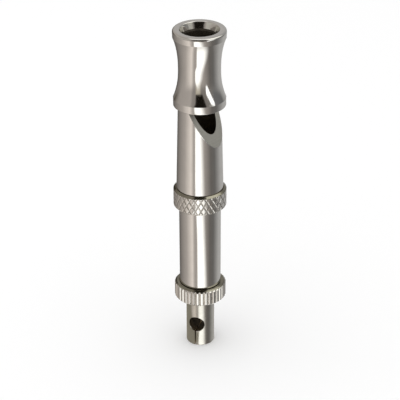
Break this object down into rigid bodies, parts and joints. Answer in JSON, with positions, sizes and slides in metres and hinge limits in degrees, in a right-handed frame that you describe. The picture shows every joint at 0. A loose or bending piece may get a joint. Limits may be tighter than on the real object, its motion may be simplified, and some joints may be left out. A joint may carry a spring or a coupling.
{
  "type": "ultrasonic dog whistle",
  "caption": "Slim metal ultrasonic dog whistle with a waisted mouthpiece, slanted sound window, knurled collar and lock nut, and a tuning screw whose stem has a lanyard hole.",
  "frame": {"origin": "middle of the stem's flat end, on which the whistle stands", "axes": "+Z along the whistle's axis, from the stem up to the mouth; the sound window faces -Y"},
  "size_m": [0.0106, 0.0106, 0.07],
  "materials": {
    "nickel_plate": "polished nickel plate on brass, a little warm",
    "plain_brass": "plain turned brass",
    "seal_rubber": "black rubber",
    "fibre": "brown fibre"
  },
  "bodies": {
    "whistle": {"mouthpiece": "nickel_plate", "fipple_plug": "plain_brass", "upper_barrel": "nickel_plate", "grip_collar": "nickel_plate", "lower_barrel": "nickel_plate", "thread_bush": "plain_brass"},
    "plunger": {"plunger": "plain_brass", "plunger_seal": "seal_rubber"},
    "tuning_screw": {"tuning_screw": "plain_brass", "stem": "nickel_plate"},
    "nut_washer": {"nut_washer": "fibre"},
    "lock_nut": {"lock_nut": "nickel_plate"}
  },
  "joints": [
    {"name": "plunger_slide", "type": "slide", "parent": "whistle", "child": "plunger", "axis": [0, 0, -1], "range_m": [0, 0.009]},
    {"name": "tuning_turn", "type": "hinge", "parent": "plunger", "child": "tuning_screw", "pos_m": [0, 0, 0.012], "axis": [0, 0, -1], "range_deg": [0, 4050]},
    {"name": "washer_slide", "type": "slide", "parent": "whistle", "child": "nut_washer", "axis": [0, 0, -1], "range_m": [0, 0.0008]},
    {"name": "nut_turn", "type": "hinge", "parent": "nut_washer", "child": "lock_nut", "pos_m": [0, 0, 0.01098], "axis": [0, 0, -1], "range_deg": [0, 360]}
  ],
  "couplings": [
    {"joint": "tuning_turn", "follows": "plunger_slide", "rad_per_m": 7854},
    {"joint": "nut_turn", "follows": "washer_slide", "rad_per_m": 7854}
  ]
}
